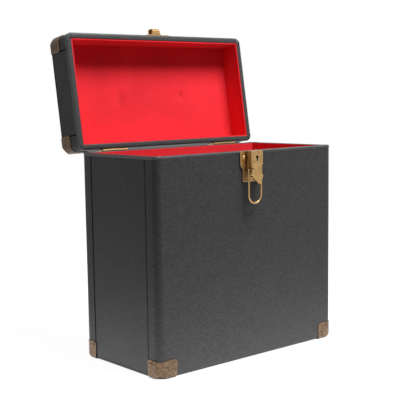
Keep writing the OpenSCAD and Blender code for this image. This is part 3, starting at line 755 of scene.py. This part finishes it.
def dress(names, material_name):
    """Gives CAD nodes a material."""
    material = material_for(material_name)
    for name in names:
        mesh = NODES[name].data
        mesh.materials.clear()
        mesh.materials.append(material)


# Meshes


def mesh_piece(name, bm, body, material_name, replaces=()):
    """Turns a bmesh into a finished piece that rides on a body of the case."""
    mesh = bpy.data.meshes.new(name)
    bm.to_mesh(mesh)
    bm.free()
    piece = bpy.data.objects.new(name, mesh)
    bpy.context.scene.collection.objects.link(piece)
    mesh.materials.append(material_for(material_name))
    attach(piece, body)
    if replaces:
        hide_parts(*replaces)
    return piece


def smooth(bm, sharpest=35):
    """Smooth shading, with hard edges where faces meet at more than the given degrees."""
    limit = math.radians(sharpest)
    for face in bm.faces:
        face.smooth = True
    for edge in bm.edges:
        if len(edge.link_faces) == 2:
            edge.smooth = edge.calc_face_angle(0) < limit


def sweep_round_rim(bm, profile, half_width, half_depth, radius):
    """Carries a closed profile of (inward, height) points round a rectangle's round corners."""
    verts = [
        bm.verts.new((radius - half_width, inward - half_depth, height))
        for inward, height in profile
    ]
    edges = [bm.edges.new((vert, verts[i - 1])) for i, vert in enumerate(verts)]
    geom = verts + edges
    for side in range(4):
        turn = Matrix.Rotation(side * math.pi / 2, 3, "Z")
        along, beside = (half_width, half_depth) if side % 2 == 0 else (half_depth, half_width)
        straight = Vector((2 * (along - radius), 0, 0))
        geom = bmesh.ops.spin(
            bm, geom=geom, axis=(0, 0, 1), dvec=turn @ straight, angle=0, steps=1
        )["geom_last"]
        geom = bmesh.ops.spin(
            bm,
            geom=geom,
            cent=turn @ Vector((along - radius, radius - beside, 0)),
            axis=(0, 0, 1),
            angle=math.pi / 2,
            steps=CORNER_STEPS,
        )["geom_last"]
    bmesh.ops.remove_doubles(bm, verts=bm.verts, dist=0.00001)
    for along in (half_width, half_depth):
        length = 2 * (along - radius)
        sides = [e for e in bm.edges if abs(e.calc_length() - length) < 0.0001]
        cuts = round(length / RIM_STEP)
        bmesh.ops.subdivide_edges(bm, edges=sides, cuts=cuts, use_grid_fill=True)


def gather_corners(bm, half_width, half_depth, radius, height, creased):
    """Folds that run across the binding where it goes round a corner, and small creases."""
    for vert in bm.verts:
        x, y, z = vert.co
        dx = abs(x) - (half_width - 2 * radius)
        dy = abs(y) - (half_depth - 2 * radius)
        near = max(0.0, min(1.0, min(dx, dy) / radius))
        around = math.atan2(abs(y) - half_depth + radius, abs(x) - half_width + radius)
        seed = (2 if x > 0 else 5) + (11 if y > 0 else 17)
        fold = 0.6 - 3 * abs(noise.noise(Vector((around * 5, seed, z * 60))))
        wave = noise.noise(Vector((x * 60, y * 60, 3)))
        crease = noise.noise(Vector((x * 330, y * 330, z * 330)))
        lift = height * (near * fold + creased * (0.2 * wave + 0.3 * crease))
        outward = Vector((x, y, 0)).normalized()
        vert.co += Vector((0, 0, 1)) * lift + outward * lift * 0.5
        vert.co.z = min(vert.co.z, PRESSED_FOLD)


def rim_strip(name, body, place, node, creased):
    """The strip of leatherette folded over a rim and down its outside."""
    half_width, half_depth = CASE_WIDTH / 2, CASE_DEPTH / 2
    bm = bmesh.new()
    sweep_round_rim(bm, RIM_PROFILE, half_width, half_depth, CORNER_RADIUS)
    height = bpy.context.scene.case_sizes.rim_wrinkle
    gather_corners(bm, half_width, half_depth, CORNER_RADIUS, height, creased)
    bmesh.ops.transform(bm, matrix=place, verts=bm.verts)
    bmesh.ops.recalc_face_normals(bm, faces=bm.faces)
    smooth(bm, 50)
    return mesh_piece(name, bm, body, "Rim leatherette", [node])


def dimple(x, y, half_width, half_depth):
    """Depth of a soft dimple at x and y from its middle, as a share of its deepest."""
    return math.exp(-((x / half_width) ** 2) - (y / half_depth) ** 2)


def dented_lining():
    """The lid's felt panel, drawn in where the handle's rivets come through behind it."""
    sizes = bpy.context.scene.case_sizes
    width = LINING_HIGH.x - LINING_LOW.x
    depth = LINING_HIGH.y - LINING_LOW.y
    columns, rows = DIMPLED_CELLS
    bm = bmesh.new()
    bmesh.ops.create_grid(bm, x_segments=columns, y_segments=rows, size=0.5)
    bmesh.ops.scale(bm, vec=(width, depth, 1), verts=bm.verts)
    reach = HANDLE_SPAN / 2
    dimple_shade = bm.verts.layers.float.new("dimple_shade")
    for vert in bm.verts:
        x, y, z = vert.co
        broad = dimple(x + reach, y + LEFT_DIMPLE[0], *LEFT_DIMPLE[1:])
        small = dimple(x - reach, y + RIGHT_DIMPLE[0], *RIGHT_DIMPLE[1:])
        slack = noise.noise(Vector((x * 22, y * 22, 1))) * FELT_SLACK
        vert.co.z = -sizes.dimple_depth * max(0.6 * broad, small) + slack
        # How much painted shade the felt gets here, the most in the dimples
        vert[dimple_shade] = max(broad, 0.8 * small)
    bottom = bmesh.ops.extrude_face_region(bm, geom=bm.faces[:])["geom"]
    lowered = [v for v in bottom if isinstance(v, bmesh.types.BMVert)]
    for vert in lowered:
        vert.co.z = -LINING_THICKNESS
    # The felt faces the inside of the lid, which is downwards while the lid is shut
    place = (
        OPENED
        @ Matrix.Translation((0, MIDDLE_Y, LID_FELT))
        @ Matrix.Rotation(math.pi, 4, "X")
    )
    bmesh.ops.transform(bm, matrix=place, verts=bm.verts)
    bmesh.ops.recalc_face_normals(bm, faces=bm.faces)
    smooth(bm, 50)
    return mesh_piece("lid_top_felt", bm, "lid", "Red flock", ["lid_top_lining"])


def ball_axes(side_x, side_y, upside_down):
    """The middle of a ball corner, and the ways outwards along the diagonal and downwards."""
    out = Vector((side_x, side_y, 0)).normalized()
    down = Vector((0, 0, 1 if upside_down else -1))
    foot = LID_TOP if upside_down else CAP_THICKNESS
    x = side_x * (CASE_WIDTH / 2 - CORNER_RADIUS)
    y = MIDDLE_Y + side_y * (CASE_DEPTH / 2 - CORNER_RADIUS)
    middle = Vector((x, y, foot)) - down * BALL_RADIUS
    return middle + out * (CORNER_RADIUS + BALL_SHIFT - BALL_RADIUS), out, down


def node_copy(node, place):
    """A merged copy of a CAD node's mesh, drawn in the shut case's place."""
    bm = bmesh.new()
    bm.from_mesh(NODES[node].data)
    bmesh.ops.remove_doubles(bm, verts=bm.verts, dist=MERGE_DISTANCE)
    bmesh.ops.transform(bm, matrix=place.inverted(), verts=bm.verts)
    return bm


def fillet_depth(beside, over, radius):
    """Depth under a wall and a floor that meet in a fillet."""
    if beside >= radius or over >= radius:
        return min(beside, over)
    return radius - math.hypot(radius - beside, radius - over)


def on_sheet_outside(point, over):
    """Whether a point of a cap is on its outer face, at that height over the case's floor."""
    edge_x = CASE_WIDTH / 2 - abs(point.x)
    edge_y = CASE_DEPTH / 2 - abs(point.y - MIDDLE_Y)
    corner_x, corner_y = max(0, CORNER_RADIUS - edge_x), max(0, CORNER_RADIUS - edge_y)
    depth = min(
        CORNER_RADIUS - math.hypot(corner_x, corner_y),
        fillet_depth(edge_y, over, FRONT_FILLET),
        fillet_depth(edge_x, over, END_FILLET),
    )
    return depth < -CAP_THICKNESS / 2


def ball_cap(node, body, side_x, side_y, upside_down, place):
    """A corner cap whose tip is bent to the round of a ball."""
    bm = node_copy(node, place)
    middle, out, down = ball_axes(side_x, side_y, upside_down)
    side = out.cross(down)
    ways = ((out, -5, BALL_STEP), (down, 1, BALL_STEP), (side, -15, BALL_SIDE_STEP))
    for way, first, distance in ways:
        for step in range(first, 16):
            bmesh.ops.bisect_plane(
                bm,
                geom=bm.verts[:] + bm.edges[:] + bm.faces[:],
                plane_co=middle + way * (step * distance),
                plane_no=way,
                dist=CUT_TOLERANCE,
            )
    for vert in bm.verts:
        across, under = (vert.co - middle).dot(out), (vert.co - middle).dot(down)
        across += (vert.co - middle).dot(side) ** 2 / 2 / BALL_BEND
        if across <= 0 or under <= 0:
            continue
        outside = on_sheet_outside(vert.co, BALL_RADIUS - under)
        radius = BALL_RADIUS + (CAP_THICKNESS if outside else BALL_ROOM)
        far = math.hypot(across, under)
        if far > radius:
            vert.co += (out * across + down * under) * (radius / far - 1)
    return finish_copy(bm, node, body, place, "Aged brass")


def trimmed_corners(node, body, upside_down, place, material):
    """A covering or board with the corners under its caps taken off."""
    bm = node_copy(node, place)
    for side_x in (-1, 1):
        for side_y in (-1, 1):
            middle, out, down = ball_axes(side_x, side_y, upside_down)
            normal = (out + down).normalized()
            geom = bm.verts[:] + bm.edges[:] + bm.faces[:]
            cut = bmesh.ops.bisect_plane(
                bm,
                geom=geom,
                plane_co=middle + normal * (BALL_RADIUS - TRIM_DEPTH),
                plane_no=normal,
                dist=CUT_TOLERANCE,
                clear_outer=True,
            )["geom_cut"]
            edges = [e for e in cut if isinstance(e, bmesh.types.BMEdge)]
            if edges:
                bmesh.ops.holes_fill(bm, edges=edges, sides=0)
    return finish_copy(bm, node, body, place, material)


def finish_copy(bm, node, body, place, material):
    """Turns a reshaped copy of a CAD node into the piece that stands for it."""
    bmesh.ops.transform(bm, matrix=place, verts=bm.verts)
    bmesh.ops.recalc_face_normals(bm, faces=bm.faces)
    smooth(bm)
    return mesh_piece(node + "_rounded", bm, body, material, [node])


def stitch_row(bm, start, end, out, pitch, length, radius):
    """A row of stitches, each a short rounded thread that lies along the row."""
    run = end - start
    along = run.normalized()
    count = int(run.length / pitch)
    first = start + along * (run.length - count * pitch) / 2
    thread = bmesh.ops.create_uvsphere(bm, u_segments=8, v_segments=6, radius=radius)["verts"]
    turn = Matrix((along * (length / 2 / radius), out.cross(along), out * 0.8)).transposed()
    bmesh.ops.transform(bm, matrix=Matrix.Translation(first) @ turn.to_4x4(), verts=thread)
    faces = {face for vert in thread for face in vert.link_faces}
    bmesh.ops.spin(
        bm,
        geom=list(faces),
        axis=(0, 0, 1),
        dvec=along * pitch,
        angle=0,
        steps=count,
        use_duplicate=True,
    )


def end_seams(name, body, low, high, place):
    """The seams on the two ends, at both edges of the leatherette panel let in there, with a
    black cord in each front groove as painted shade.
    """
    sizes = bpy.context.scene.case_sizes
    half_width = CASE_WIDTH / 2
    bm = bmesh.new()
    for side in (-1, 1):
        for edge, stitches in ((low.y, FRONT_STITCHES), (high.y, BACK_STITCHES)):
            depth, towards_back, length, radius = stitches
            x, y = side * (half_width - depth), edge + towards_back
            start, end = Vector((x, y, low.z)), Vector((x, y, high.z))
            out = Vector((side, 0, 0))
            stitch_row(bm, start, end, out, sizes.stitch_pitch, length, radius)
        # Painted shade: a black cord along each front groove stands for its dark shadow
        shade_cord = bmesh.ops.create_circle(
            bm, cap_ends=True, segments=12, radius=SHADE_CORD_RADIUS
        )["verts"]
        x = side * (half_width - SHADE_CORD_RADIUS)
        bmesh.ops.translate(bm, vec=(x, low.y - SHADE_CORD_BEFORE_PANEL, low.z), verts=shade_cord)
        faces = list({face for vert in shade_cord for face in vert.link_faces})
        grown = bmesh.ops.extrude_face_region(bm, geom=faces, use_keep_orig=True)["geom"]
        grown = [v for v in grown if isinstance(v, bmesh.types.BMVert)]
        bmesh.ops.translate(bm, vec=(0, 0, high.z - low.z), verts=grown)
    bmesh.ops.transform(bm, matrix=place, verts=bm.verts)
    bmesh.ops.recalc_face_normals(bm, faces=bm.faces)
    smooth(bm, 60)
    return mesh_piece(name, bm, body, "Black thread and seam shade")


def grip_seam():
    """The sewn seam along the inner side of the grip, with its raised edge."""
    low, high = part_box("handle_grip")
    radius = (high.y - low.y) / 2
    middle = (high.y + low.y) / 2
    top = low.z + 2 * radius
    reach = HANDLE_SPAN / 2 - RIDGE_END_MARGIN
    bm = bmesh.new()
    # A low ridge with rounded ends, where the leather's two edges meet
    ridge = bmesh.ops.create_uvsphere(bm, u_segments=16, v_segments=10, radius=RIDGE_RADIUS)
    for vert in ridge["verts"]:
        vert.co.x += math.copysign(reach, vert.co.x)
        vert.co += Vector((0, middle, top - RIDGE_DEPTH))
    for side in (-1, 1):
        y, z = middle + side * GRIP_STITCH_ASIDE, top - GRIP_STITCH_DEPTH
        start, end = Vector((-reach, y, z)), Vector((reach, y, z))
        out = Vector((0, side * 0.37, 0.93)).normalized()
        stitch_row(
            bm, start, end, out, GRIP_STITCH_PITCH, GRIP_STITCH_LENGTH, GRIP_STITCH_RADIUS
        )
    bmesh.ops.recalc_face_normals(bm, faces=bm.faces)
    smooth(bm, 60)
    return mesh_piece("grip_seam", bm, "handle", "Black thread and seam shade")


# Operators


class RECORDCASE_OT_covering(bpy.types.Operator):
    """Cover the boards with leatherette"""

    bl_idname = "record_case.covering"
    bl_label = "Covering"

    def execute(self, context):
        dress([n for n in NODES if n.endswith(("_left_cover", "_right_cover"))], "Leatherette")
        upright = Matrix.Translation((0, MIDDLE_Y, RIM_TOP))
        rim_strip("body_rim_strip", "case_body", upright, "body_rim_binding", BODY_CREASES)
        turned = Matrix.Translation((0, MIDDLE_Y, LID_RIM)) @ Matrix.Rotation(math.pi, 4, "X")
        rim_strip("lid_rim_strip", "lid", OPENED @ turned, "lid_rim_binding", LID_CREASES)
        low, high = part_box("body_left_cover")
        end_seams("body_end_seams", "case_body", low, high, Matrix())
        low.z, high.z = LID_RIM + LID_SEAM_START, LID_FELT + LID_SEAM_END
        end_seams("lid_end_seams", "lid", low, high, OPENED)
        return {"FINISHED"}


class RECORDCASE_OT_corners(bpy.types.Operator):
    """Round the eight corners of the case and their caps"""

    bl_idname = "record_case.corners"
    bl_label = "Corners"

    def execute(self, context):
        for part, body, floor, place in (
            ("body", "case_body", "bottom", Matrix()),
            ("lid", "lid", "top", OPENED),
        ):
            upside_down = part == "lid"
            for y, side_y in (("front", -1), ("back", 1)):
                for x, side_x in (("left", -1), ("right", 1)):
                    node = f"{part}_cap_{y}_{x}"
                    ball_cap(node, body, side_x, side_y, upside_down, place)
            for covering in ("front_wrap", "back_wrap", f"{floor}_cover"):
                node = f"{part}_{covering}"
                trimmed_corners(node, body, upside_down, place, "Leatherette")
            for side in ("front", "back", "left", "right", floor):
                node = f"{part}_{side}_board"
                trimmed_corners(node, body, upside_down, place, "Board darkened as seam shade")
        return {"FINISHED"}


class RECORDCASE_OT_lining(bpy.types.Operator):
    """Line the body and the lid with red flock"""

    bl_idname = "record_case.lining"
    bl_label = "Lining"

    def execute(self, context):
        dress([n for n in NODES if n.endswith("_lining")], "Red flock")
        dented_lining()
        return {"FINISHED"}


class RECORDCASE_OT_metalwork(bpy.types.Operator):
    """Finish the caps' nails, the hinges, latch and brackets"""

    bl_idname = "record_case.metalwork"
    bl_label = "Metalwork"

    def execute(self, context):
        brass = [
            n
            for n in NODES
            if n.startswith(("hinge_", "latch_", "lid_catch", "handle_bracket"))
            or n.endswith("_rivets")
        ]
        dress([n for n in NODES if n.endswith("_cap_nails")], "Aged brass")
        dress(brass, "Latch brass")
        dress(["hinge_pins", "handle_pins"], "Plain steel")
        # Painted shade: the plug behind the keyhole is near-black, so that the hole looks dark
        dress(["lock_plug"], "Near-black steel as keyhole shade")
        return {"FINISHED"}


class RECORDCASE_OT_handle(bpy.types.Operator):
    """Cover the handle's grip"""

    bl_idname = "record_case.handle"
    bl_label = "Handle"

    def execute(self, context):
        dress(["handle_grip"], "Grip leather")
        grip_seam()
        return {"FINISHED"}


class RECORDCASE_OT_stage(bpy.types.Operator):
    """Set up the floor, the lamps and the camera"""

    bl_idname = "record_case.stage"
    bl_label = "Stage"

    def execute(self, context):
        stage = context.scene.case_stage
        self.make_room(context, stage)
        self.make_floor(context, stage)
        self.make_lamps(context, stage)
        self.make_camera(context, stage)
        context.scene.view_settings.view_transform = "Standard"
        return {"FINISHED"}

    def make_room(self, context, stage):
        world = bpy.data.worlds.new("White studio")
        context.scene.world = world
        world.use_nodes = True
        tree = world.node_tree
        tree.nodes.clear()
        white = (1, 1, 1, 1)
        dim = add_node(tree, "ShaderNodeBackground", Color=white, Strength=stage.fill)
        bright = add_node(tree, "ShaderNodeBackground", Color=white, Strength=1.0)
        mix = add_node(
            tree,
            "ShaderNodeMixShader",
            {0: seen_rays(tree), 1: dim.outputs["Background"], 2: bright.outputs["Background"]},
        )
        out = add_node(tree, "ShaderNodeOutputWorld")
        tree.links.new(mix.outputs["Shader"], out.inputs["Surface"])

    def make_floor(self, context, stage):
        bm = bmesh.new()
        bmesh.ops.create_grid(bm, x_segments=1, y_segments=1, size=stage.floor_width / 2)
        mesh = bpy.data.meshes.new("studio_floor")
        bm.to_mesh(mesh)
        bm.free()
        floor = bpy.data.objects.new("studio_floor", mesh)
        context.scene.collection.objects.link(floor)
        material, tree, shader = new_material("White floor")
        shader.inputs["Base Color"].default_value = (0.3, 0.3, 0.3, 1)
        shader.inputs["Roughness"].default_value = 0.9
        shader.inputs["Specular IOR Level"].default_value = 0.0
        # The camera and the gloss see the floor as white as the room, apart from its shadow
        glow = add_node(tree, "ShaderNodeEmission", {"Strength": seen_rays(tree)})
        glow.inputs["Color"].default_value = (stage.floor_glow,) * 3 + (1,)
        lit = add_node(
            tree,
            "ShaderNodeAddShader",
            {0: shader.outputs["BSDF"], 1: glow.outputs["Emission"]},
        )
        tree.links.new(lit.outputs["Shader"], tree.nodes["Material Output"].inputs["Surface"])
        mesh.materials.append(material)

    def add_lamp(self, context, name, place, aim, size, power):
        lamp = bpy.data.lights.new(name, "AREA")
        lamp.shape = "RECTANGLE"
        lamp.size, lamp.size_y = size
        lamp.energy = power
        thing = bpy.data.objects.new(name, lamp)
        context.scene.collection.objects.link(thing)
        thing.location = place
        beam = Vector(aim) - Vector(place)
        thing.rotation_euler = beam.to_track_quat("-Z", "Y").to_euler()
        return thing

    def make_lamps(self, context, stage):
        self.add_lamp(
            context, "overhead_lamp", LAMP_PLACE, LAMP_AIM, LAMP_SIZE, stage.lamp_power
        )
        # The lit table top round the case's foot
        reach = stage.table_glow_width / 2
        half_width, half_depth = CASE_WIDTH / 2, CASE_DEPTH / 2
        strips = {
            "front": (0, MIDDLE_Y - half_depth - reach, CASE_WIDTH),
            "back": (0, MIDDLE_Y + half_depth + reach, CASE_WIDTH),
            "left": (-half_width - reach, MIDDLE_Y, CASE_DEPTH + 4 * reach),
            "right": (half_width + reach, MIDDLE_Y, CASE_DEPTH + 4 * reach),
        }
        for name, (x, y, length) in strips.items():
            size = (length, 2 * reach) if y != MIDDLE_Y else (2 * reach, length)
            power = stage.table_glow * math.pi * size[0] * size[1]
            place, aim = (x, y, GLOW_HEIGHT), (x, y, 1)
            strip = self.add_lamp(context, "table_glow_" + name, place, aim, size, power)
            strip.visible_camera = False

    def make_camera(self, context, stage):
        camera = bpy.data.cameras.new("photo_camera")
        camera.sensor_width = 36
        camera.lens = stage.lens
        camera.shift_x, camera.shift_y = CAMERA_SHIFT
        camera.clip_end = 50
        thing = bpy.data.objects.new("photo_camera", camera)
        context.scene.collection.objects.link(thing)
        a, e, r = stage.azimuth, stage.elevation, stage.roll
        back = Vector((math.sin(a) * math.cos(e), -math.cos(a) * math.cos(e), math.sin(e)))
        level = Vector((math.cos(a), math.sin(a), 0))
        upright = back.cross(level)
        right = level * math.cos(r) + upright * math.sin(r)
        up = upright * math.cos(r) - level * math.sin(r)
        axes = Matrix((right, up, back)).transposed().to_4x4()
        place = CAMERA_TARGET + back * stage.distance
        thing.matrix_world = Matrix.Translation(place) @ axes
        context.scene.camera = thing


class RECORDCASE_PT_panel(bpy.types.Panel):
    """Lists the steps that dress the case"""

    bl_label = "Record Case"
    bl_idname = "RECORDCASE_PT_panel"
    bl_space_type = "VIEW_3D"
    bl_region_type = "UI"
    bl_category = "Record Case"

    def draw(self, context):
        for step in STEPS:
            self.layout.operator(step.bl_idname)
        for name in ("case_finish", "case_sizes", "case_stage"):
            values = getattr(context.scene, name)
            box = self.layout.box()
            for key in values.__annotations__:
                box.prop(values, key)


STEPS = (
    RECORDCASE_OT_covering,
    RECORDCASE_OT_corners,
    RECORDCASE_OT_lining,
    RECORDCASE_OT_metalwork,
    RECORDCASE_OT_handle,
    RECORDCASE_OT_stage,
)
GROUPS = {"case_finish": CaseFinish, "case_sizes": CaseSizes, "case_stage": CaseStage}


def register():
    for name, kind in GROUPS.items():
        bpy.utils.register_class(kind)
        setattr(bpy.types.Scene, name, PointerProperty(type=kind))
    for kind in (*STEPS, RECORDCASE_PT_panel):
        bpy.utils.register_class(kind)


def unregister():
    for kind in (RECORDCASE_PT_panel, *reversed(STEPS)):
        bpy.utils.unregister_class(kind)
    for name, kind in reversed(GROUPS.items()):
        delattr(bpy.types.Scene, name)
        bpy.utils.unregister_class(kind)


def main():
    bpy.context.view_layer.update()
    register()
    bpy.ops.record_case.covering()
    bpy.ops.record_case.corners()
    bpy.ops.record_case.lining()
    bpy.ops.record_case.metalwork()
    bpy.ops.record_case.handle()
    bpy.ops.record_case.stage()


if __name__ == "__main__":
    main()
